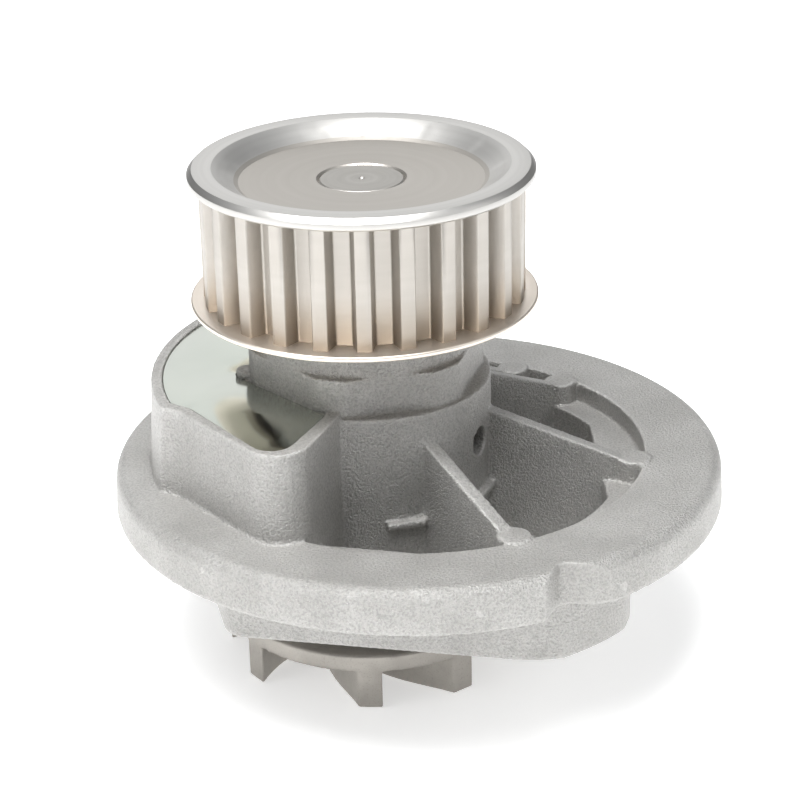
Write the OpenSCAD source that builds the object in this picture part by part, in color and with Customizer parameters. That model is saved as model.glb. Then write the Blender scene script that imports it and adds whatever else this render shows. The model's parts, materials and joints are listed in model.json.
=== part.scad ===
// Timing-belt water pump with an eccentric clamping ring.
// The origin is the centre of the locating spigot, on the mounting face of the ring.
// +Z runs along the shaft towards the pulley. The shaft stands beside the spigot's centre,
// so turning the whole pump in its engine block tightens or slackens the belt.

/* [Clamping ring] */
// Outer diameter of the clamping ring
ring_d = 116.4; // [114:0.2:124]
// Thickness of the clamping ring
ring_t = 8.1; // [7:0.1:11]
// Diameter of the opening in the ring's top face
ring_opening_d = 86.6; // [84:0.2:90]
// Diameter of the locating spigot under the ring
spigot_d = 100; // [96:0.5:102]
// Height of the round spigot
spigot_h = 3; // [2:0.5:5]
// Offset from the spigot's centre to the shaft
eccentricity = 9.4; // [7:0.1:10]
// Depth of the index notch in the ring's rim
notch_depth = 4.2; // [2:0.1:5]
// Section diameter of the rubber ring in the mounting face
flange_seal_w = 2.4; // [2:0.1:3]

/* [Pump body] */
// Height of the body below the mounting face
body_h = 14.5; // [13:0.5:18]
// Wall between the body's outside and its ribbed pockets
body_wall = 3.5; // [2.5:0.1:4.5]
// Diameter of the neck between the ring and the wrench collar
neck_d = 46.8; // [45:0.2:49]
// Height of the neck's shoulder above the mounting face
neck_h = 24.4; // [22:0.1:27]
// Size of the wrench that fits the collar, across flats
wrench_af = 41; // [39:0.5:42]
// Height of the wrench flats
wrench_h = 7.1; // [5:0.1:8]
// Thickness of the ribs between neck and ring
rib_t = 2.8; // [2:0.1:4]
// Diameter of the weep hole in the neck
weep_d = 5.5; // [3:0.1:6.5]

/* [Leak chamber] */
// Thickness of the leak chamber's walls
chamber_wall = 3; // [2.4:0.1:4]
// Thickness of the plate over the leak chamber
cover_t = 0.8; // [0.6:0.1:1.2]

/* [Bearing] */
// Diameter of the bearing shaft
shaft_d = 15.918; // [14:0.001:17]
// Outer diameter of the bearing
bearing_d = 30; // [29:0.5:33]
// Length of the bearing's outer ring
bearing_l = 38.9; // [36:0.1:40]
// Diameter of a bearing ball
ball_d = 5.5; // [5:0.1:5.8]

/* [Pulley] */
// Number of belt teeth
tooth_count = 24; // [22:1:25]
// Pitch of the belt teeth
tooth_pitch = 8; // [7.8:0.1:8.3]
// Width of the toothed part between the flanges
belt_space = 22.75; // [18:0.25:24]
// Diameter of the pulley's top flange
flange_d = 63.5; // [62:0.1:68]
// Thickness of the top flange
flange_t = 2.25; // [1.5:0.05:3]
// Height of the pulley's upper face above the mounting face
pulley_top = 65.5; // [64:0.5:70]

/* [Impeller] */
// Diameter of the impeller
impeller_d = 57; // [50:0.5:60]
// Thickness of the impeller's disc
disc_t = 3.45; // [2.5:0.05:5]
// Height of the blades below the disc
blade_h = 7.85; // [6:0.05:10]
// Clearance between the pump body's seal boss and the impeller's disc
impeller_gap = 1.2; // [0.8:0.1:2]

/* [Shaft seal] */
// Diameter of the seal's press-fit bore
seal_d = 36.5; // [35:0.1:38]
// Depth of the seal's bore
seal_h = 12.2; // [11:0.1:14]

/* [Hidden] */
$fn = 96;
eps = 0.01;
running = 0.03;

// ---- derived sizes of the clamping ring and the body ----
ring_r = ring_d / 2;
opening_r = ring_opening_d / 2;
spigot_r = spigot_d / 2;
neck_r = neck_d / 2;
ring_edge = 2.5;
ledge_z = 4;
ledge_w = 5;
floor_z = -body_h + 5.5;
groove_clearance = 0.05;
groove_step = 0.6;
seal_groove_r = spigot_r + groove_step + flange_seal_w / 2;
flange_seal_squeeze = 0.8;
body_inside_spigot = 0.6;
body_left = -42.3;
body_right = 38.2;
body_back = 36;

// ---- neck, collar and bores ----
collar_top = neck_h + wrench_h;
collar_r = wrench_af / 2;
wrench_corner_r = collar_r + 1.7;
hex_turn = 12;
boss_bottom = -body_h - 5.7;
seal_flange_t = 0.8;
seal_flange_r = seal_d / 2 + 1.85;
seal_top = boss_bottom + seal_flange_t + seal_h;
bearing_z0 = 17;
bearing_top = bearing_z0 + bearing_l;
neck_top = bearing_top - 0.9;
drain_r = bearing_d / 2 - 2;
neck_upper_r = bearing_d / 2 + 4;
weep_angle = -27.5;
weep_z = 13.9;
drain_bore_r = 2.5;
drain_bore_z = 7;

// ---- leak chamber ----
cover_z = neck_h;
chamber_top = cover_z + cover_t + 0.3;
chamber_r = 51.6;
chamber_draft = 1.7;
chamber_floor = 3;
cover_seat = 0.9;
cover_clearance = 0.15;
stake_r = 2.2;
stake_angle = -174;
stake_place_r = neck_r - 0.9;
lug_angle = -106.5;
lug_w = 2.4;
lug_l = 2.2;

// ---- ribs: angle about the shaft where each leaves the neck, angle about the spigot
// ---- where its pad stands ----
ribs = [[-62, -67.9], [-14, -11.5], [35.8, 43.5], [80, 60], [112, 98]];
rib_top_neck = 18.4;
rib_join_z = 2;
rib_top_pad = 7.6;
pad_r = 3.15;
pad_top = ring_t + 0.4;
pad_place_r = opening_r - 1.9;
notch_angle = -63.5;

// ---- pulley ----
tooth_r = tooth_count * tooth_pitch / PI / 2 - 0.7;
groove_depth = 3.2;
groove_top_w = 5.1;
groove_bottom_w = 3.1;
tooth_edge = 0.4;
tooth_phase = 0.46;
guide_t = 1;
guide_r = flange_d / 2 + 0.55;
guide_seat_r = tooth_r - 5.3;
teeth_z1 = pulley_top - flange_t;
teeth_z0 = teeth_z1 - belt_space;
dish_depth = 3;
rim_in_r = 27.3;
dish_r = 22.5;
web_t = 5.2;
web_z0 = pulley_top - dish_depth - web_t;
cavity_r = guide_seat_r - 2;
shaft_end_below_dish = 0.15;
bore_edge = 0.35;

// ---- shaft and rolling elements ----
shaft_r = shaft_d / 2;
shaft_top = pulley_top - dish_depth - shaft_end_below_dish;
centre_depth = 0.6;
race_r = bearing_d / 2 - 3;
pitch_r = (shaft_r + race_r) / 2;
ball_r = ball_d / 2;
ball_count = 8;
ball_z = bearing_z0 + 10;
roller_r = (race_r - shaft_r) / 2 - running;
roller_l = 8;
roller_gap = 1;
roller_count = floor(180 / asin((roller_r + roller_gap / 2) / pitch_r));
roller_z0 = bearing_top - 14;
lip_seal_t = 1.4;
lip_seal_inset = 0.4;

// ---- impeller and seal faces ----
impeller_r = impeller_d / 2;
disc_top = boss_bottom - impeller_gap;
disc_bottom = disc_top - disc_t;
blade_bottom = disc_bottom - blade_h;
hub_r = 12;
hub_bottom = disc_bottom - 5.5;
blade_pairs = 4;
blade_pair_gap = 38;
blade_first = -92;
blade_half_angle = 4.8;
blade_sweep_back = 0.95;
blade_curl_back = 0.11;
blade_sweep_front = 1.2;
face_in_r = shaft_r + 1.7;
case_t = 0.8;
seal_room = seal_d / 2 - case_t - face_in_r;
usual_seal_room = 7.791;
seal_fit = seal_room / usual_seal_room;
mating_r = face_in_r + 4.6 * seal_fit;
boot_t = 1.1;
boot_w = boot_t * seal_fit;
boot_h = 2.9;
mating_h = 3.2;
mating_top = disc_top + boot_t + mating_h - 0.3;
face_gap = 0.04;
carbon_r = face_in_r + 3 * seal_fit;
carbon_bottom = mating_top + face_gap;
carbon_h = 4;
carbon_top = carbon_bottom + carbon_h;
cup_t = 1;
cup_w = cup_t * seal_fit;
retainer_t = 0.6;
retainer_w = retainer_t * seal_fit;
lip_r = carbon_r + cup_w;
case_roof = seal_top - case_t;
spring_wire = 1;
spring_turns = 2.5;

// ---- outline helpers ----
function unit(v) = v / norm(v);
function polar(r, a) = [r * cos(a), r * sin(a)];
function short_turn(a) = a > 180 ? a - 360 : a < -180 ? a + 360 : a;
function arc(r, a0, a1, n) = [for (i = [0:n]) polar(r, a0 + (a1 - a0) * i / n)];

// One rounded corner at c, between its neighbours p and q.
function corner(p, c, q, r, n = 8) =
    let (u = unit(p - c), v = unit(q - c), half = acos(u * v) / 2)
    let (centre = c + unit(u + v) * r / sin(half), reach = r / tan(half))
    let (s = c + u * reach - centre, e = c + v * reach - centre)
    let (a0 = atan2(s.y, s.x), turn = short_turn(atan2(e.y, e.x) - a0))
    [for (i = [0:n]) centre + polar(r, a0 + turn * i / n)];

// A closed outline from corners given as [x, y, radius].
function rounded(c) = [for (i = [0:len(c) - 1])
    let (p = c[(i + len(c) - 1) % len(c)], q = c[(i + 1) % len(c)], xy = [c[i].x, c[i].y])
    each (c[i].z > 0 ? corner([p.x, p.y], xy, [q.x, q.y], c[i].z) : [xy])];

// The body under the ring: straight front, round lobe at the right, inset by d.
function body_outline(d = 0) = rounded([
    [-36.4 + d, -31.6 + d, 5],
    [body_right - d, -48.1 + d, 18.4 - d],
    [body_right - d, body_back - d, 18 - d],
    [body_left + d, body_back - d, 22 - d],
    [body_left + d, -4 + d, 12 - d]]);

// The leak chamber's outline, inset by d. Its outer side is trimmed by a drafted cone.
function chamber_outline(d = 0) = rounded([
    [-11 - d, -14, 0],
    [-23.8 - d * 0.9, -44.8 + d * 2, 6 - d],
    [-44.2 + d * 1.2, -18.9 + d * 0.5, 4],
    [-50.5 + d, -15.2 + d, 3],
    [-62, -13 + d, 0],
    [-62, 60, 0],
    [-26 - d, 60, 0],
    [-18.5 - d * 1.2, 36, 6],
    [-11 - d, 14, 0]]);

module on_shaft() {
    translate([-eccentricity, 0, 0]) children();
}

module tube(r_out, r_in, z0, z1) {
    translate([0, 0, z0]) difference() {
        cylinder(r = r_out, h = z1 - z0);
        translate([0, 0, -1]) cylinder(r = r_in, h = z1 - z0 + 2);
    }
}

// ---- housing ----
module ring_blank() {
    rotate_extrude() polygon(concat(
        [[0, 0], [ring_r, 0], [ring_r - 0.3, ring_t - ring_edge]],
        [for (p = arc(ring_edge, 0, 90, 8)) [ring_r - 0.3 - ring_edge, ring_t - ring_edge] + p],
        [[0, ring_t]]));
}

module pump_body_blank() {
    translate([0, 0, -spigot_h]) cylinder(r = spigot_r, h = spigot_h + eps);
    intersection() {
        translate([0, 0, -body_h]) linear_extrude(body_h + eps) polygon(body_outline());
        translate([0, 0, -body_h]) cylinder(r = spigot_r - body_inside_spigot, h = body_h + 1);
    }
}

module neck_blank() {
    on_shaft() translate([0, 0, boss_bottom]) cylinder(r = neck_r, h = neck_h - boss_bottom);
}

module collar() {
    on_shaft() {
        translate([0, 0, neck_h - eps]) intersection() {
            rotate([0, 0, hex_turn]) cylinder(r = collar_r / cos(30), h = wrench_h + eps, $fn = 6);
            cylinder(r = wrench_corner_r, h = wrench_h + eps);
        }
        translate([0, 0, collar_top - eps]) cylinder(r = collar_r, h = 4.5);
        translate([0, 0, collar_top + 4]) cylinder(r = neck_upper_r, h = neck_top - collar_top - 4);
    }
}

module chamber_blank(d = 0, z0 = 0, z1 = chamber_top) {
    intersection() {
        translate([0, 0, z0]) linear_extrude(z1 - z0) polygon(chamber_outline(d));
        cylinder(r1 = chamber_r - d, r2 = chamber_r - chamber_draft - d, h = chamber_top + 2);
    }
}

module rib(neck_angle, pad_angle) {
    start = [-eccentricity, 0] + polar(neck_r - 1, neck_angle);
    span = polar(pad_place_r, pad_angle) - start;
    translate([start.x, start.y, 0]) rotate([0, 0, atan2(span.y, span.x)]) rotate([90, 0, 0])
        translate([0, 0, -rib_t / 2]) linear_extrude(rib_t) polygon([
            [0, floor_z - 1], [norm(span), floor_z - 1], [norm(span), rib_top_pad],
            [1, rib_top_neck], [0, rib_top_neck]]);
}

module pads() {
    for (r = ribs) rotate([0, 0, r[1]]) translate([pad_place_r, 0, floor_z - 1])
        cylinder(r = pad_r, h = pad_top - floor_z + 1);
}

// Ribs and pads. Below the ring they end inside the body's wall.
module ribs_and_pads() {
    intersection() {
        union() {
            for (r = ribs) rib(r[0], r[1]);
            pads();
        }
        union() {
            translate([0, 0, floor_z - 2]) linear_extrude(rib_join_z + 1 - floor_z)
                polygon(body_outline(body_wall / 2));
            translate([0, 0, rib_join_z - 1]) cylinder(r = ring_r - 1, h = neck_h);
        }
    }
}

// The open pockets between the neck, the ribs and the ring.
module pockets() {
    difference() {
        union() {
            translate([0, 0, ledge_z]) cylinder(r = opening_r, h = ring_t);
            intersection() {
                translate([0, 0, floor_z]) cylinder(r = opening_r - ledge_w, h = ring_t - floor_z);
                translate([0, 0, floor_z]) linear_extrude(ring_t - floor_z)
                    polygon(body_outline(body_wall));
            }
        }
        on_shaft() translate([0, 0, floor_z - 1]) cylinder(r = neck_r, h = neck_h - floor_z);
        translate([0, 0, floor_z - 1]) linear_extrude(neck_h - floor_z) polygon(chamber_outline());
    }
}

// Small cast steps at the foot of the neck.
module neck_steps() {
    on_shaft() for (a = [-74.5, -24.5]) rotate([0, 0, a]) translate([neck_r - 1, -3.6, 2.6])
        cube([2.3, 7.2, 1.3]);
}

module leak_chamber_space() {
    difference() {
        union() {
            chamber_blank(chamber_wall, chamber_floor, chamber_top + 1);
            chamber_blank(chamber_wall - cover_seat, cover_z, chamber_top + 1);
        }
        on_shaft() translate([0, 0, chamber_floor - 1])
            cylinder(r = neck_r, h = cover_z - chamber_floor + 1);
        collar();
    }
}

module housing_bores() {
    on_shaft() {
        translate([0, 0, bearing_z0]) cylinder(d = bearing_d, h = bearing_l);
        translate([0, 0, seal_top - 1]) cylinder(r = drain_r, h = bearing_z0 - seal_top + 2);
        translate([0, 0, boss_bottom + seal_flange_t - eps]) cylinder(d = seal_d, h = seal_h + eps);
        translate([0, 0, boss_bottom - 1]) cylinder(r = seal_flange_r, h = seal_flange_t + 1);
        rotate([0, 0, weep_angle]) translate([drain_r - 2, 0, weep_z]) rotate([0, 90, 0])
            cylinder(d = weep_d, h = neck_r);
        rotate([0, 0, 180]) translate([drain_r - 2, 0, drain_bore_z]) rotate([0, 90, 0])
            cylinder(r = drain_bore_r, h = neck_r - drain_r + 3);
    }
}

module index_notch() {
    rotate([0, 0, notch_angle]) translate([0, 0, -1]) linear_extrude(ring_t + 2)
        polygon(rounded([
            [ring_r - notch_depth, -1.8, 1.5],
            [ring_r + 3, -11, 0],
            [ring_r + 3, 10, 0],
            [ring_r + 0.4, 10, 0],
            [ring_r - notch_depth / 3, 3.6, 3],
            [ring_r - notch_depth, -0.5, 1.2]]));
}

module flange_seal_groove() {
    translate([0, 0, -1]) tube(seal_groove_r + flange_seal_w / 2 + groove_clearance,
        seal_groove_r - flange_seal_w / 2 - groove_clearance, 0,
        1 + flange_seal_w - flange_seal_squeeze);
}

module cover_stake() {
    on_shaft() rotate([0, 0, stake_angle]) translate([stake_place_r, 0, cover_z - 3])
        cylinder(r = stake_r, h = cover_t + 4.1);
}

module cover_lug() {
    on_shaft() rotate([0, 0, lug_angle]) translate([neck_r - 1.4, -lug_w / 2, cover_z - 7])
        cube([lug_l, lug_w, cover_t + 7.1]);
}

module housing() {
    color([0.74, 0.74, 0.73]) difference() {
        union() {
            difference() {
                union() {
                    ring_blank();
                    pump_body_blank();
                }
                pockets();
            }
            neck_blank();
            collar();
            ribs_and_pads();
            difference() {
                chamber_blank(0, 1);
                leak_chamber_space();
            }
            neck_steps();
            cover_stake();
            cover_lug();
        }
        difference() {
            chamber_blank(chamber_wall, chamber_floor, chamber_floor + 6);
            on_shaft() cylinder(r = neck_r, h = neck_h);
        }
        housing_bores();
        index_notch();
        flange_seal_groove();
    }
}

module leak_chamber_cover() {
    color([0.72, 0.75, 0.70]) difference() {
        chamber_blank(chamber_wall - cover_seat + cover_clearance, cover_z, cover_z + cover_t);
        on_shaft() {
            rotate([0, 0, hex_turn]) translate([0, 0, cover_z - 1])
                cylinder(r = (collar_r + cover_clearance) / cos(30), h = 5, $fn = 6);
            rotate([0, 0, stake_angle]) translate([stake_place_r, 0, cover_z - 1])
                cylinder(r = stake_r + cover_clearance, h = 5);
            rotate([0, 0, lug_angle]) translate([neck_r - 1.4 - cover_clearance, 0, cover_z + 1.5])
                cube([2 * (lug_l + cover_clearance), lug_w + 2 * cover_clearance, 5], center = true);
        }
    }
}

module flange_seal_ring() {
    color([0.1, 0.1, 0.1]) translate([0, 0, flange_seal_w / 2 - flange_seal_squeeze])
        rotate_extrude() translate([seal_groove_r, 0]) circle(d = flange_seal_w);
}

// ---- bearing ----
module ball_track() {
    translate([0, 0, ball_z]) rotate_extrude() translate([pitch_r, 0]) circle(r = ball_r + running);
}

module bearing_outer_ring() {
    color([0.7, 0.7, 0.72]) on_shaft() difference() {
        tube(bearing_d / 2, race_r, bearing_z0, bearing_top);
        ball_track();
    }
}

module lip_seal(z0) {
    on_shaft() tube(race_r, shaft_r + running, z0, z0 + lip_seal_t);
}

module upper_bearing_seal() {
    color([0.15, 0.12, 0.1]) lip_seal(bearing_top - lip_seal_inset - lip_seal_t);
}

module lower_bearing_seal() {
    color([0.15, 0.12, 0.1]) lip_seal(bearing_z0 + lip_seal_inset);
}

module around(count, r) {
    for (i = [0:count - 1]) rotate([0, 0, i * 360 / count]) translate([r, 0, 0]) children();
}

module bearing_rollers() {
    color([0.8, 0.8, 0.82]) on_shaft() around(roller_count, pitch_r)
        translate([0, 0, roller_z0]) cylinder(r = roller_r, h = roller_l);
}

module roller_cage() {
    color([0.85, 0.8, 0.6]) on_shaft() difference() {
        tube(pitch_r + 0.7, pitch_r - 0.7, roller_z0 - 1.2, roller_z0 + roller_l + 1.2);
        around(roller_count, pitch_r) translate([0, 0, roller_z0 - 0.1])
            cylinder(r = roller_r + 0.06, h = roller_l + 0.2);
    }
}

module bearing_balls() {
    color([0.8, 0.8, 0.82]) on_shaft() around(ball_count, pitch_r)
        translate([0, 0, ball_z]) sphere(r = ball_r);
}

module ball_cage() {
    color([0.85, 0.8, 0.6]) on_shaft() difference() {
        tube(pitch_r + 0.8, pitch_r - 0.8, ball_z - ball_r - 1, ball_z + 1.2);
        around(ball_count, pitch_r) translate([0, 0, ball_z]) sphere(r = ball_r + 0.1);
    }
}

// ---- rotor ----
module shaft() {
    color([0.72, 0.71, 0.68]) on_shaft() difference() {
        union() {
            translate([0, 0, hub_bottom - 0.6])
                cylinder(r = shaft_r, h = shaft_top - 0.4 - hub_bottom + 0.6);
            translate([0, 0, shaft_top - 0.4 - eps]) cylinder(r1 = shaft_r, r2 = shaft_r - 0.4, h = 0.4);
        }
        ball_track();
        translate([0, 0, shaft_top - centre_depth])
            cylinder(r1 = 0.1, r2 = centre_depth, h = centre_depth + eps);
    }
}

module slinger() {
    color([0.12, 0.12, 0.12]) on_shaft() {
        tube(shaft_r + 1.4, shaft_r, 8, 12);
        tube(shaft_r + 3.6, shaft_r, 9.2, 10.6);
    }
}

module tooth_groove() {
    root = tooth_r - groove_depth;
    translate([0, 0, teeth_z0 - 1]) linear_extrude(belt_space + 1) polygon(rounded([
        [root, -groove_bottom_w / 2, 0.5],
        [tooth_r - tooth_edge, -groove_top_w / 2 + 0.15, 0],
        [tooth_r + 1, -groove_top_w / 2 - 0.9, 0],
        [tooth_r + 1, groove_top_w / 2 + 0.9, 0],
        [tooth_r - tooth_edge, groove_top_w / 2 - 0.15, 0],
        [root, groove_bottom_w / 2, 0.5]]));
}

module pulley() {
    color([0.8, 0.8, 0.8]) on_shaft() difference() {
        union() {
            difference() {
                translate([0, 0, teeth_z0]) cylinder(r = tooth_r, h = belt_space + eps);
                for (i = [0:tooth_count - 1])
                    rotate([0, 0, (i + tooth_phase) * 360 / tooth_count]) tooth_groove();
            }
            translate([0, 0, teeth_z0 - guide_t]) cylinder(r = guide_seat_r, h = guide_t + eps);
            rotate_extrude() polygon([
                [0, teeth_z1], [flange_d / 2 - 0.35, teeth_z1], [flange_d / 2, teeth_z1 + 0.35],
                [flange_d / 2, pulley_top - 0.9], [flange_d / 2 - 0.9, pulley_top], [0, pulley_top]]);
        }
        translate([0, 0, pulley_top - dish_depth])
            cylinder(r1 = dish_r, r2 = rim_in_r, h = dish_depth + eps);
        translate([0, 0, teeth_z0 - guide_t - 1])
            cylinder(r = cavity_r, h = web_z0 - teeth_z0 + guide_t + 1);
        translate([0, 0, web_z0 - 1]) cylinder(r = shaft_r, h = web_t + 2);
        translate([0, 0, pulley_top - dish_depth - bore_edge])
            cylinder(r1 = shaft_r, r2 = shaft_r + bore_edge + 0.1, h = bore_edge + 0.1);
    }
}

module pulley_guide_flange() {
    color([0.85, 0.78, 0.68]) on_shaft() rotate_extrude() polygon([
        [guide_seat_r, teeth_z0 - guide_t], [guide_r - 0.2, teeth_z0 - guide_t],
        [guide_r, teeth_z0 - guide_t + 0.2], [guide_r, teeth_z0 - 0.2],
        [guide_r - 0.2, teeth_z0], [guide_seat_r, teeth_z0]]);
}

// One blade: its two faces are spirals that sweep back towards the hub.
module blade() {
    reach = impeller_r - hub_r + 1;
    steps = 8;
    back = [for (i = [0:steps]) let (s = reach * i / steps)
        polar(impeller_r - s, -blade_half_angle - (blade_sweep_back + blade_curl_back * s) * s)];
    front = [for (i = [steps:-1:0]) let (s = reach * i / steps)
        polar(impeller_r - s, blade_half_angle - blade_sweep_front * s)];
    translate([0, 0, blade_bottom]) linear_extrude(blade_h + 0.5) polygon(concat(back, front));
}

module impeller() {
    color([0.58, 0.56, 0.53]) on_shaft() difference() {
        union() {
            translate([0, 0, disc_bottom]) cylinder(r = impeller_r, h = disc_t);
            translate([0, 0, hub_bottom]) cylinder(r = hub_r, h = disc_bottom - hub_bottom + eps);
            for (i = [0:blade_pairs - 1], half = [0, 1])
                rotate([0, 0, blade_first + i * 360 / blade_pairs + half * blade_pair_gap]) blade();
        }
        translate([0, 0, hub_bottom - 1]) cylinder(r = shaft_r, h = disc_top - hub_bottom + 2);
    }
}

// ---- shaft seal ----
module seal_case() {
    color([0.8, 0.78, 0.7]) on_shaft() rotate_extrude() polygon([
        [seal_d / 2 - case_t, boss_bottom], [seal_flange_r, boss_bottom],
        [seal_flange_r, boss_bottom + seal_flange_t], [seal_d / 2, boss_bottom + seal_flange_t],
        [seal_d / 2, seal_top], [face_in_r + 0.3, seal_top], [face_in_r + 0.3, case_roof],
        [seal_d / 2 - case_t, case_roof]]);
}

module seal_bellows() {
    fold_r = carbon_r - seal_fit;
    in_r = face_in_r + 0.3 * seal_fit;
    neck = case_roof - carbon_top - cup_t;
    color([0.13, 0.13, 0.14]) on_shaft() rotate_extrude() polygon([
        [in_r, carbon_top], [carbon_r, carbon_top], [carbon_r, carbon_top - 2.4],
        [lip_r, carbon_top - 2.4], [lip_r, carbon_top + cup_t],
        [fold_r - 0.4 * seal_fit, carbon_top + cup_t],
        [fold_r + 0.9 * seal_fit, carbon_top + cup_t + neck / 4],
        [fold_r - 0.4 * seal_fit, carbon_top + cup_t + neck / 2],
        [fold_r + 0.9 * seal_fit, carbon_top + cup_t + 3 * neck / 4],
        [fold_r, case_roof], [fold_r - 1.2 * seal_fit, case_roof],
        [fold_r - 0.3 * seal_fit, carbon_top + cup_t + 3 * neck / 4],
        [fold_r - 1.6 * seal_fit, carbon_top + cup_t + neck / 2],
        [fold_r - 0.3 * seal_fit, carbon_top + cup_t + neck / 4],
        [fold_r - 1.6 * seal_fit, carbon_top + cup_t],
        [in_r, carbon_top + cup_t]]);
}

module seal_retainer() {
    brim_r = lip_r + 2 * seal_fit;
    brim_z = carbon_top + cup_t - 0.2;
    color([0.75, 0.74, 0.7]) on_shaft() rotate_extrude() polygon([
        [lip_r, carbon_top - 2], [lip_r + retainer_w, carbon_top - 2], [lip_r + retainer_w, brim_z],
        [brim_r, brim_z], [brim_r, brim_z + retainer_t], [lip_r, brim_z + retainer_t]]);
}

// Compression spring: rings of the wire's section swept along a helix.
module seal_spring() {
    z0 = carbon_top + cup_t - 0.2 + retainer_t + spring_wire / 2 + 0.05;
    z1 = case_roof - spring_wire / 2 - 0.05;
    coil_r = lip_r + 1.2 * seal_fit;
    sides = 8;
    rings = 24 * spring_turns;
    points = [for (i = [0:rings], k = [0:sides - 1])
        let (t = 360 * spring_turns * i / rings, a = 360 * k / sides)
        let (r = coil_r + spring_wire / 2 * cos(a))
        [r * cos(t), r * sin(t), z0 + (z1 - z0) * i / rings + spring_wire / 2 * sin(a)]];
    walls = [for (i = [0:rings - 1], k = [0:sides - 1])
        let (a = i * sides + k, b = i * sides + (k + 1) % sides) [a, a + sides, b + sides, b]];
    start = [[for (k = [0:sides - 1]) k]];
    end = [[for (k = [sides - 1:-1:0]) rings * sides + k]];
    color([0.7, 0.7, 0.7]) on_shaft() polyhedron(points, concat(walls, start, end), convexity = 6);
}

module seal_face_ring() {
    color([0.2, 0.2, 0.21]) on_shaft() tube(carbon_r, face_in_r, carbon_bottom, carbon_top);
}

module mating_ring() {
    color([0.35, 0.36, 0.38]) on_shaft() tube(mating_r, face_in_r, disc_top + boot_t - 0.3, mating_top);
}

module mating_ring_boot() {
    color([0.12, 0.12, 0.13]) on_shaft() rotate_extrude() polygon([
        [face_in_r - 0.6, disc_top], [mating_r + boot_w, disc_top],
        [mating_r + boot_w, disc_top + boot_h], [mating_r, disc_top + boot_h],
        [mating_r, disc_top + boot_t - 0.3], [face_in_r - 0.6, disc_top + boot_t - 0.3]]);
}

housing();
leak_chamber_cover();
flange_seal_ring();
bearing_outer_ring();
upper_bearing_seal();
lower_bearing_seal();
bearing_rollers();
roller_cage();
bearing_balls();
ball_cage();
shaft();
slinger();
pulley();
pulley_guide_flange();
impeller();
seal_case();
seal_bellows();
seal_spring();
seal_retainer();
seal_face_ring();
mating_ring();
mating_ring_boot();
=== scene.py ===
# %% [markdown]
# # A timing-belt water pump
#
# The pump is a die-cast aluminium housing with a bearing pressed into its neck. A toothed belt
# drives the steel pulley at the top, and the impeller at the other end of the shaft moves coolant.
# The shapes come from the CAD model, which is already in place. This lesson gives them the soft
# edges and the surfaces that the real castings, turnings and pressings have.

import json
import math

import bmesh
import bpy
import numpy as np
from mathutils import Matrix, Vector

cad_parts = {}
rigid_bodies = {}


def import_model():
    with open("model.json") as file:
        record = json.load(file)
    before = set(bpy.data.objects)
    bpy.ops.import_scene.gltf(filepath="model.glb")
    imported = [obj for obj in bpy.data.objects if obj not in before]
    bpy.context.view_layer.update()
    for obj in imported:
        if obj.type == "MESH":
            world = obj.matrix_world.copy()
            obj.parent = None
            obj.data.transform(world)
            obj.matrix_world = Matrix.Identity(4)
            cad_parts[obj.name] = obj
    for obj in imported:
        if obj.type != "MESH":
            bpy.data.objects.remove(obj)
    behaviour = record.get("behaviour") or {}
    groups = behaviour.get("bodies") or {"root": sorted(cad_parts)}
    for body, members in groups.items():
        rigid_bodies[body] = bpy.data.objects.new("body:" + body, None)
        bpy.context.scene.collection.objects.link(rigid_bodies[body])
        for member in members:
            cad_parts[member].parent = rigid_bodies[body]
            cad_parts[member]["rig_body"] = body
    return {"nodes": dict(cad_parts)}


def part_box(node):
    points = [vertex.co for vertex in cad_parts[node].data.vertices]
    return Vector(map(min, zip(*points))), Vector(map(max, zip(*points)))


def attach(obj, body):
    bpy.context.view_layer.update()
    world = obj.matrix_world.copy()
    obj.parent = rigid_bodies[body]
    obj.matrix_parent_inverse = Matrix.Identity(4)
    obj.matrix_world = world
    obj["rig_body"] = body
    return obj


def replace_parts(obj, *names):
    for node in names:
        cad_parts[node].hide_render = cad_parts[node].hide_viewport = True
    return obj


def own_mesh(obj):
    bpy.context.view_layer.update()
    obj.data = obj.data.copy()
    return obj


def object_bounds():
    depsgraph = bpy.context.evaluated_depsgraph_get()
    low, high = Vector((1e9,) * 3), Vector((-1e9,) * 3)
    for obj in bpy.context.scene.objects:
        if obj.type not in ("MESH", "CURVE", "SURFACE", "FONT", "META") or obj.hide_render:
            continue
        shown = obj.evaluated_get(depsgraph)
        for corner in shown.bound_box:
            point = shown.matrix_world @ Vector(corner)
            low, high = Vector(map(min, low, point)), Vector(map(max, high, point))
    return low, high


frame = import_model()
cad_nodes = frame["nodes"]
cad_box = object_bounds()
MM = 0.001
SHAFT_X = -9.4 * MM
BAND_TOP = 63.0 * MM
BAND_REACH = 30.05 * MM
TEETH_FOOT = 40.5 * MM
# Height where the painted reflection and shade near the teeth's foot fades out.
PAINTED_REFLECTION_TOP = 50 * MM
print("CAD box, mm:", [[round(c / MM, 1) for c in corner] for corner in cad_box])

# %% [markdown]
# A shader is a graph of nodes, and a long graph is hard to read as code. Python can overload its
# operators, so `1 - mask` can add a Math node by itself. `Socket` wraps one output of a node for
# that. `Finish` is one material: its `node` method adds any node, and `coat` ends the graph.

# %% A socket that does sums, and a material that makes nodes
class Socket:
    """One output of a shader node. Sums with it add Math nodes to its finish."""

    def __init__(self, finish, out):
        self.finish, self.out = finish, out

    def __add__(self, other):
        return self.finish.sum("ADD", self, other)

    def __sub__(self, other):
        return self.finish.sum("SUBTRACT", self, other)

    def __rsub__(self, other):
        return self.finish.sum("SUBTRACT", other, self)

    def __mul__(self, other):
        return self.finish.sum("MULTIPLY", self, other)

    def __pow__(self, other):
        return self.finish.sum("POWER", self, other)

    __radd__, __rmul__ = __add__, __mul__


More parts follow.
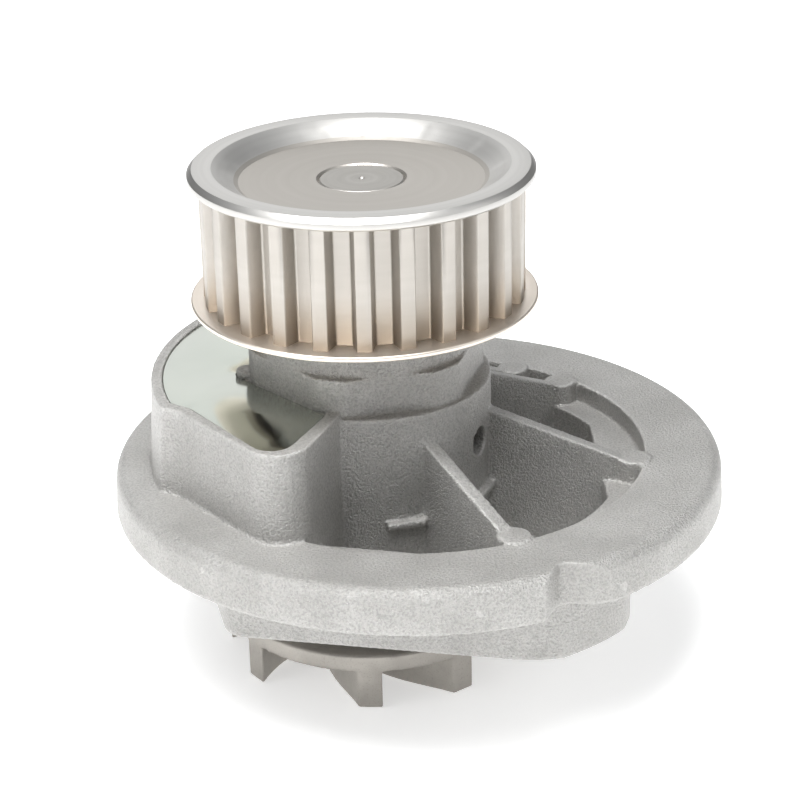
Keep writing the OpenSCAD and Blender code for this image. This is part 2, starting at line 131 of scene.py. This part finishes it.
class Finish:
    """One material. Settings of a node are set before its sockets are filled or linked."""

    def __init__(self, name, **constants):
        self.material = bpy.data.materials.new(name)
        self.material.use_nodes = True
        self.tree = self.material.node_tree
        self.shader = self.tree.nodes["Principled BSDF"]
        for key, value in constants.items():
            self.shader.inputs[key.replace("_", " ").title().replace("Ior", "IOR")].default_value = value

    def node(self, kind, inputs, out=0, **settings):
        made = self.tree.nodes.new("ShaderNode" + kind)
        for stop, (at, grey) in enumerate(settings.pop("stops", [])):
            made.color_ramp.elements[stop].position = at
            made.color_ramp.elements[stop].color = (grey, grey, grey, 1)
        for key, value in settings.items():
            setattr(made, key, value)
        for key, value in inputs.items():
            if isinstance(value, Socket):
                self.tree.links.new(value.out, made.inputs[key])
            else:
                made.inputs[key].default_value = value
        return Socket(self, made.outputs[out])

    def sum(self, operation, a, b):
        return self.node("Math", {0: a, 1: b}, operation=operation)

    def place(self):
        return self.node("TexCoord", {}, out="Object")

    def noise(self, cell, detail=2.0, vector=None):
        """Noise whose lumps are about cell millimetres wide, from 0 to 1."""
        inputs = {"Vector": vector or self.place(), "Scale": 1 / (cell * MM), "Detail": detail}
        return self.node("TexNoise", inputs)

    def ramp(self, value, low, high):
        """0 below low and 1 above high."""
        return self.node("ValToRGB", {"Fac": value}, stops=[(low, 0), (high, 1)])

    def mix(self, share, a, b):
        """Colour a where share is 0 and b where it is 1."""
        fill = {6: (*a, 1) if isinstance(a, tuple) else a, 7: (*b, 1) if isinstance(b, tuple) else b}
        return self.node("Mix", {0: share, **fill}, out=2, data_type="RGBA")

    def along_and_around(self):
        """Distance from the shaft's axis and height, as two sockets in metres."""
        parts = self.node("SeparateXYZ", {0: self.place()})
        x, y, z = (Socket(self, o) for o in parts.out.node.outputs)
        return ((x - SHAFT_X) ** 2 + y ** 2) ** 0.5, z

    def turned(self, cell):
        """Noise that runs in rings round the shaft, as a lathe tool leaves it."""
        away, up = self.along_and_around()
        spot = self.node("CombineXYZ", {0: away, 1: 0.0, 2: up})
        return self.noise(cell, 3.0, spot)

    def coat(self, colour, roughness, *bumps):
        """Joins the graph to the shader. Each bump is (height, depth in millimetres, strength)."""
        ends = {"Base Color": colour, "Roughness": roughness}
        normal = None
        for height, depth, strength in bumps:
            inputs = {"Height": height, "Distance": depth * MM, "Strength": strength}
            if normal:
                inputs["Normal"] = normal
            normal = self.node("Bump", inputs)
        if normal:
            ends["Normal"] = normal
        for key, value in ends.items():
            if isinstance(value, Socket):
                self.tree.links.new(value.out, self.shader.inputs[key])
            else:
                self.shader.inputs[key].default_value = (*value, 1) if isinstance(value, tuple) else value
        return self.material

# %% [markdown]
# Die-cast aluminium that has been blasted with shot is pale and evenly rough. Thousands of tiny
# dents turn light in all directions: some face the lamp and sparkle, and some hold shade. One
# noise makes the dents and also paints shade into their colour, and a finer one makes small bumps
# and bright spots that are glossier and painted lighter as glints. One of 11 mm makes the cloudy
# tone of the casting, and the Geometry node's pointiness finds the edges, which are painted
# lighter: partly rubbed wear and partly a painted highlight.

# %% Cast aluminium
def cast_finish(name, dark, light, grain, roughness):
    f = Finish(name, metallic=0.75, specular_ior_level=0.5)
    cloud = f.noise(11, 4.0)
    dents_and_painted_shade = f.noise(grain, 3.0)
    fine = f.noise(grain * 0.45, 2.0)
    sparkle_gloss_and_painted_glint = f.ramp(fine, 0.60, 0.72)
    edge_wear_and_painted_highlight = f.ramp(f.node("NewGeometry", {}, out="Pointiness"), 0.505, 0.56)
    tone = f.mix(f.ramp(cloud, 0.35, 0.68), dark, light)
    # Painted shade: the colour is darkened in the dents.
    tone = f.mix((1 - f.ramp(dents_and_painted_shade, 0.36, 0.58)) * 0.5, tone, tuple(c * 0.6 for c in dark))
    # Painted glints: bright spots mixed into the colour, where the roughness is also lower.
    tone = f.mix(sparkle_gloss_and_painted_glint * 0.45, tone, (0.80, 0.79, 0.77))
    # Lighter edges: partly rubbed wear and partly a painted highlight.
    tone = f.mix(edge_wear_and_painted_highlight * 0.4, tone, (0.75, 0.74, 0.72))
    rough = roughness - 0.16 * sparkle_gloss_and_painted_glint + 0.08 * cloud
    return f.coat(tone, rough, (dents_and_painted_shade, 0.40, 1.0), (fine, 0.20, 1.0), (f.noise(5, 2.0), 0.12, 0.25))


cast_aluminium = cast_finish("cast_aluminium", (0.48, 0.472, 0.455), (0.57, 0.562, 0.545), 0.45, 0.42)
print("finish:", cast_aluminium.name)

# %% [markdown]
# The pulley is turned on a lathe and its teeth are cut afterwards. Fine rings round the axis make
# a turned face shine in two opposite fans. The rings are a noise that only knows the distance
# from the axis and the height, so it can't change as it goes round. Below the top flange, the
# toothed band and the web are slightly duller than the rim, and their colour is painted browner
# and darker: a painted reflection of the brown guide flange and painted shade, strongest near the
# teeth's foot.

# %% Turned steel
def turned_steel(name, colour, shade, roughness, ring_cell, depth):
    f = Finish(name, metallic=1.0)
    rings = f.turned(ring_cell)
    wide = f.turned(ring_cell * 9)
    stain = f.noise(9, 3.0)
    tone = f.mix(f.ramp(wide, 0.3, 0.7), colour, shade)
    tone = f.mix(f.ramp(stain, 0.45, 0.75) * 0.25, tone, tuple(c * 0.86 for c in shade))
    rough = roughness + 0.10 * rings + 0.05 * stain
    return f.coat(tone, rough, (rings, depth, 0.5), (f.noise(0.25), 0.006, 0.25))


def toothed_steel():
    """Turned steel with a painted reflection of the brown guide flange and painted shade on its toothed band
    and web, most of all near the teeth's foot.
    """
    f = Finish("pulley_steel", metallic=1.0)
    away, up = f.along_and_around()
    rings = f.turned(0.18)
    wide = f.turned(1.8)
    below_flange = f.sum("LESS_THAN", up, BAND_TOP)
    band = f.sum("LESS_THAN", away, BAND_REACH) * below_flange
    foot = f.node("MapRange", {"Value": up, "From Min": TEETH_FOOT, "From Max": PAINTED_REFLECTION_TOP,
                               "To Min": 1.0, "To Max": 0.0})
    drawn = f.noise(0.3, 2.0, f.node("Mapping", {"Vector": f.place(), "Scale": (1, 1, 0.04)}))
    tone = f.mix(f.ramp(wide, 0.3, 0.7), (0.64, 0.63, 0.61), (0.57, 0.56, 0.54))
    # Painted reflection of the brown guide flange and painted shade: the band's colour is made browner, and
    # darker still near the teeth's foot.
    tone = f.mix(band * 0.6, tone, (0.42, 0.385, 0.34))
    tone = f.mix(band * foot * 0.6, tone, (0.30, 0.235, 0.17))
    rough = 0.38 + 0.07 * rings + 0.03 * band
    return f.coat(tone, rough, (rings, 0.012, 0.45), (drawn * band, 0.02, 0.4))


pulley_steel = toothed_steel()
shaft_steel = turned_steel("shaft_steel", (0.47, 0.455, 0.43), (0.41, 0.395, 0.37), 0.42, 0.12, 0.010)
bearing_steel = turned_steel("bearing_steel", (0.72, 0.72, 0.73), (0.66, 0.66, 0.68), 0.16, 0.08, 0.003)
guide_steel = turned_steel("guide_flange_steel", (0.96, 0.88, 0.79), (0.88, 0.80, 0.71), 0.34, 0.22, 0.006)
stainless = turned_steel("pressed_stainless", (0.70, 0.68, 0.62), (0.62, 0.60, 0.55), 0.26, 0.3, 0.006)
print("finishes:", pulley_steel.name, shaft_steel.name, guide_steel.name)

# %% [markdown]
# The plate over the leak chamber is thin sheet with a bright zinc coat. Sheet is never quite
# flat, and a glossy coat shows it: a slow swell in the Bump node bends the reflections.

# %% Zinc-coated sheet
def zinc_sheet():
    f = Finish("zinc_sheet", metallic=1.0, coat_weight=0.15)
    haze = f.noise(14, 3.0)
    tone = f.mix(f.ramp(haze, 0.35, 0.7), (0.54, 0.57, 0.52), (0.58, 0.61, 0.555))
    return f.coat(tone, 0.13 + 0.05 * haze, (haze, 0.22, 0.35), (f.noise(0.35), 0.006, 0.3))


zinc = zinc_sheet()

# %% [markdown]
# The impeller is pressed from iron powder and sintered, so it's dull and warm grey with open
# pores. Rubber, nylon, carbon and ceramic are not metals: their colour comes from below the
# surface, so Metallic is 0 and the grain does the rest.

# %% Sintered iron, and the finishes that aren't metal
def grained(name, dark, light, roughness, cell, depth, **constants):
    f = Finish(name, **constants)
    grain = f.noise(cell, 3.0)
    patch = f.noise(cell * 24, 3.0)
    tone = f.mix(f.ramp(patch, 0.35, 0.7), dark, light)
    tone = f.mix(f.ramp(grain, 0.55, 0.75) * 0.4, tone, tuple(c * 0.62 for c in dark))
    return f.coat(tone, roughness + 0.12 * grain, (grain, depth, 0.5))


sintered_iron = grained("sintered_iron", (0.37, 0.35, 0.32), (0.45, 0.425, 0.39), 0.42, 0.3, 0.05,
                        metallic=0.8)
rubber = grained("black_rubber", (0.018, 0.018, 0.019), (0.032, 0.031, 0.031), 0.55, 0.5, 0.03)
nylon = grained("glass_filled_nylon", (0.62, 0.55, 0.40), (0.72, 0.66, 0.50), 0.42, 0.25, 0.02)
carbon = grained("carbon_ring", (0.035, 0.035, 0.038), (0.055, 0.055, 0.06), 0.3, 0.2, 0.01)
ceramic = grained("ceramic_ring", (0.09, 0.095, 0.105), (0.13, 0.135, 0.145), 0.18, 0.3, 0.006)
spring_steel = grained("spring_steel", (0.50, 0.49, 0.48), (0.60, 0.59, 0.58), 0.25, 0.3, 0.01, metallic=1.0)
print("finishes in all:", len(bpy.data.materials))

# %% [markdown]
# A casting has no sharp edge: molten metal can't fill one, and every inner corner is filleted so
# that the tool lasts. A Bevel modifier fails where many ribs meet, so the housing's mesh is
# copied, rebuilt as an even skin of small faces by the Remesh modifier, and then relaxed by the
# Smooth modifier. That rounds edges and fills corners at once, and flat faces stay where they are.

# %% Copies with cast edges
def new_piece(name, mesh, node, finish):
    piece = bpy.data.objects.new(name, mesh)
    bpy.context.scene.collection.objects.link(piece)
    mesh.materials.clear()
    mesh.materials.append(finish)
    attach(piece, cad_nodes[node]["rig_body"])
    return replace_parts(piece, node)


def settle(piece, *modifiers):
    """Adds modifiers given as (type, settings), and makes their result the piece's own mesh."""
    for kind, settings in modifiers:
        made = piece.modifiers.new(kind.lower(), kind)
        for key, value in settings.items():
            setattr(made, key, value)
    shaped = bpy.data.meshes.new_from_object(piece.evaluated_get(bpy.context.evaluated_depsgraph_get()))
    piece.modifiers.clear()
    piece.data = shaped


def cast_copy(name, node, finish, voxel, rounds, keep):
    """A CAD node's copy with edges as round as the smoothing makes them."""
    piece = new_piece(name, cad_nodes[node].data.copy(), node, finish)
    voxel = voxel * 1 * MM
    settle(piece, ("REMESH", {"mode": "VOXEL", "voxel_size": voxel, "use_smooth_shade": True}),
           ("SMOOTH", {"factor": 0.5, "iterations": rounds}),
           ("DECIMATE", {"ratio": keep}))
    low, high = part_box(node)
    flat = np.empty(len(piece.data.vertices) * 3)
    piece.data.vertices.foreach_get("co", flat)
    inside = np.clip(flat.reshape(-1, 3), low, high)
    piece.data.vertices.foreach_set("co", inside.ravel())
    piece.data.shade_smooth()
    print(f"{name}: {len(piece.data.polygons)} faces")
    return piece


cast_copy("housing_casting", "housing", cast_aluminium, 0.33, 2, 0.4)
cast_copy("impeller_sintered", "impeller", sintered_iron, 0.35, 4, 0.5)

# %% [markdown]
# Turned and pressed parts do have crisp edges, but each has a tiny break that catches the light.
# Their copies are welded into one skin and get a narrow Bevel. The bevel only touches corners
# sharper than 30 degrees, so the facets of a round face are left alone.

# %% Copies with broken edges
def crisp_copy(name, node, finish, width):
    piece = new_piece(name, cad_nodes[node].data.copy(), node, finish)
    mesh = bmesh.new()
    mesh.from_mesh(piece.data)
    bmesh.ops.remove_doubles(mesh, verts=mesh.verts, dist=0.002 * MM)
    bmesh.ops.dissolve_limit(mesh, verts=mesh.verts, edges=mesh.edges, angle_limit=math.radians(0.5))
    mesh.to_mesh(piece.data)
    mesh.free()
    settle(piece, ("BEVEL", {"width": width * MM, "segments": 2, "limit_method": "ANGLE",
                             "angle_limit": math.radians(30), "use_clamp_overlap": True,
                             "miter_outer": "MITER_ARC"}),
           ("TRIANGULATE", {}))
    smooth_by_angle(piece.data, 30)
    print(f"{name}: {len(piece.data.polygons)} faces")
    return piece


def smooth_by_angle(mesh, degrees):
    """Smooth shading, except across edges sharper than the angle."""
    mesh.shade_smooth()
    mesh.set_sharp_from_angle(angle=math.radians(degrees))


crisp_copy("pulley_turned", "pulley", pulley_steel, 0.16)
crisp_copy("guide_flange_pressed", "pulley_guide_flange", guide_steel, 0.12)
crisp_copy("cover_plate", "leak_chamber_cover", zinc, 0.15)
crisp_copy("shaft_ground", "shaft", shaft_steel, 0.08)

# %% [markdown]
# The seal's carbon face is pressed against its mate by a spring, and as it wears or shakes it
# moves up to 0.8 mm. The spring and the rubber bellows are fixed at the top and get shorter as
# it does. Their copies here keep the CAD shape, with smooth shading and a mesh of their own.

# %% Spring and bellows
def springy_copy(name, node, finish):
    piece = new_piece(name, cad_nodes[node].data.copy(), node, finish)
    smooth_by_angle(piece.data, 30)
    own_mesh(piece)


springy_copy("spring_wound", "seal_spring", spring_steel)
springy_copy("bellows_moulded", "seal_bellows", rubber)

# %% [markdown]
# The parts inside the bearing and the seal are simple rings, balls and rollers, and their CAD
# shapes are right as they stand. They keep them, and only get their finishes.

# %% Finishes for the pieces that stay as they are
inside = {
    "bearing_outer_ring": bearing_steel, "bearing_rollers": bearing_steel, "bearing_balls": bearing_steel,
    "upper_bearing_seal": rubber, "lower_bearing_seal": rubber, "slinger": rubber,
    "flange_seal_ring": rubber, "mating_ring_boot": rubber,
    "roller_cage": nylon, "ball_cage": nylon, "seal_case": stainless, "seal_retainer": stainless,
    "seal_face_ring": carbon, "mating_ring": ceramic,
}
for node, finish in inside.items():
    cad_nodes[node].data.materials.clear()
    cad_nodes[node].data.materials.append(finish)
print("nodes that stay:", len(inside))

# %% [markdown]
# A product is lit from large soft sources, so that no shadow has a hard edge. The floor is a pale
# sheet that glows a little, as a light table does, which keeps the shadow under the ring faint.
# The world is a soft grey sky, brighter above than at the horizon, for the metal to reflect.

# %% Floor, sky and soft lights
def floor(size, height):
    mesh = bpy.data.meshes.new("floor")
    corners = [(-size, -size), (size, -size), (size, size), (-size, size)]
    mesh.from_pydata([(x, y, height) for x, y in corners], [], [(0, 1, 2, 3)])
    sheet = bpy.data.objects.new("floor", mesh)
    bpy.context.scene.collection.objects.link(sheet)
    f = Finish("floor_paper", metallic=0.0, emission_strength=0.5)
    f.shader.inputs["Emission Color"].default_value = (1, 1, 1, 1)
    mesh.materials.append(f.coat((0.9, 0.9, 0.9), 0.8))


def soft_light(name, place, target, size, power):
    data = bpy.data.lights.new(name, "AREA")
    data.shape, data.size, data.energy = "SQUARE", size, power
    lamp = bpy.data.objects.new(name, data)
    bpy.context.scene.collection.objects.link(lamp)
    lamp.location = place
    lamp.rotation_euler = (Vector(target) - Vector(place)).to_track_quat("-Z", "Y").to_euler()


def sky(top, horizon):
    world = bpy.data.worlds.new("studio")
    bpy.context.scene.world = world
    world.use_nodes = True
    tree = world.node_tree
    coords = tree.nodes.new("ShaderNodeTexCoord")
    split = tree.nodes.new("ShaderNodeSeparateXYZ")
    ramp = tree.nodes.new("ShaderNodeValToRGB")
    ramp.color_ramp.elements[0].color = (*horizon, 1)
    ramp.color_ramp.elements[1].color = (*top, 1)
    tree.links.new(coords.outputs["Generated"], split.inputs[0])
    tree.links.new(split.outputs["Z"], ramp.inputs[0])
    tree.links.new(ramp.outputs[0], tree.nodes["Background"].inputs["Color"])


lowest = cad_box[0].z
floor(4.0, lowest - 0.2 * MM)
sky((0.33, 0.34, 0.35), (0.05, 0.05, 0.05))
aim = (0, 0, 15 * MM)
soft_light("top", (-0.10, -0.20, 0.75), aim, 0.50, 9.4)
soft_light("left", (-0.70, -0.30, 0.28), aim, 0.40, 1.2)
soft_light("right", (0.75, -0.10, 0.50), aim, 0.40, 1.0)
soft_light("back", (-0.05, 0.85, 0.42), aim, 0.60, 1.1)
bpy.context.scene.view_settings.view_transform = "Standard"

# %% [markdown]
# The camera stands 375 mm in front of the shaft and looks down at 24 degrees, with a long lens.
# Its three turns are small numbers, so its matrix is worked out from them directly.

# %% Camera
def camera(place, pitch, yaw, roll, lens):
    p, y, t = (math.radians(a) for a in (pitch, yaw, roll))
    forward = Vector((math.sin(y) * math.cos(p), math.cos(y) * math.cos(p), -math.sin(p)))
    right = Vector((math.cos(y), -math.sin(y), 0))
    up = right.cross(forward)
    right, up = math.cos(t) * right + math.sin(t) * up, math.cos(t) * up - math.sin(t) * right
    data = bpy.data.cameras.new("camera")
    data.sensor_width, data.lens = 36, lens
    data.clip_start, data.clip_end = 0.01, 20
    holder = bpy.data.objects.new("camera", data)
    bpy.context.scene.collection.objects.link(holder)
    turn = Matrix((right, up, -forward)).transposed().to_4x4()
    holder.matrix_world = Matrix.Translation(place) @ turn
    bpy.context.scene.camera = holder
    return holder


camera((-0.0094, -0.3750, 0.1867), 24.24, 0.93, -1.27, 97.16)

# %% [markdown]
# The last cell brings the view layer up to date.

# %% The end
bpy.context.view_layer.update()
